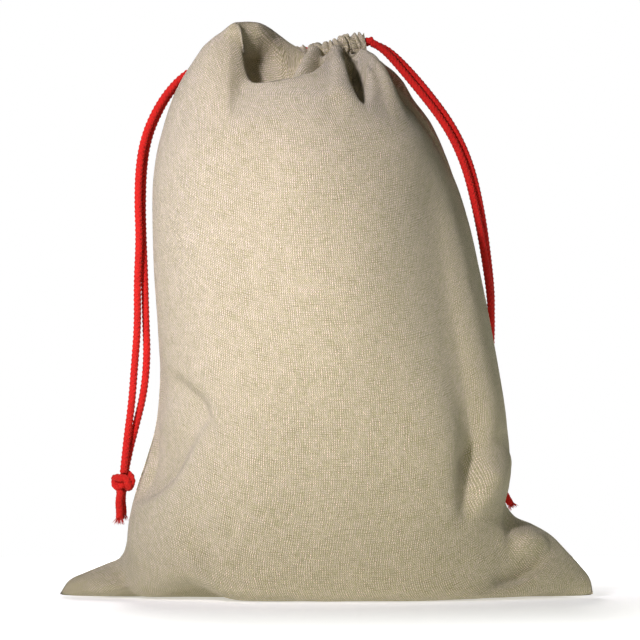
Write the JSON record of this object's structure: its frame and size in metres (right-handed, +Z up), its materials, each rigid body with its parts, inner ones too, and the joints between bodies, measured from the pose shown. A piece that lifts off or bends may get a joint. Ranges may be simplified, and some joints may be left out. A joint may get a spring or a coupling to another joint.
{
  "type": "fabric gift sack",
  "caption": "Standing linen-look drawstring gift sack with pointed bottom corners, a gathered mouth and a knotted braided cord loop hanging at each side.",
  "frame": {"origin": "on the floor, midway between the tips of the two bottom corners and midway between front and back", "axes": "+Z up, the front panel faces -Y, +X to the right as seen from the front"},
  "size_m": [0.492, 0.2543, 0.529],
  "materials": {
    "linen": "plain weave, matt",
    "cord_red": "braided cotton, matt",
    "thread": "sewing thread, matt"
  },
  "bodies": {
    "root": {"front_panel": "linen", "back_panel": "linen", "left_side_seam": "thread", "right_side_seam": "thread", "bottom_seam": "thread", "front_casing": "linen", "back_casing": "linen", "front_casing_stitch": "thread", "back_casing_stitch": "thread", "left_bartack": "thread", "right_bartack": "thread"},
    "left_lead": {"left_front_lead": "cord_red", "left_back_lead": "cord_red"},
    "left_loop": {"left_front_strand": "cord_red", "left_back_strand": "cord_red", "left_knot": "cord_red", "left_front_tail": "cord_red", "left_back_tail": "cord_red"},
    "right_lead": {"right_front_lead": "cord_red", "right_back_lead": "cord_red"},
    "right_loop": {"right_front_strand": "cord_red", "right_back_strand": "cord_red", "right_knot": "cord_red", "right_front_tail": "cord_red", "right_back_tail": "cord_red"}
  },
  "joints": [
    {"name": "left_cord_pull", "type": "slide", "parent": "root", "child": "left_lead", "axis": [-0.9874, 0, -0.158], "range_m": [0, 0.01]},
    {"name": "left_cord_swing", "type": "hinge", "parent": "left_lead", "child": "left_loop", "pos_m": [-0.0315, 0, 0.50232], "axis": [0, 1, 0], "range_deg": [0, 60]},
    {"name": "right_cord_pull", "type": "slide", "parent": "root", "child": "right_lead", "axis": [0.9874, 0, 0.158], "range_m": [0, 0.01]},
    {"name": "right_cord_swing", "type": "hinge", "parent": "right_lead", "child": "right_loop", "pos_m": [0.0395, 0, 0.51368], "axis": [0, -1, 0], "range_deg": [0, 60]}
  ]
}
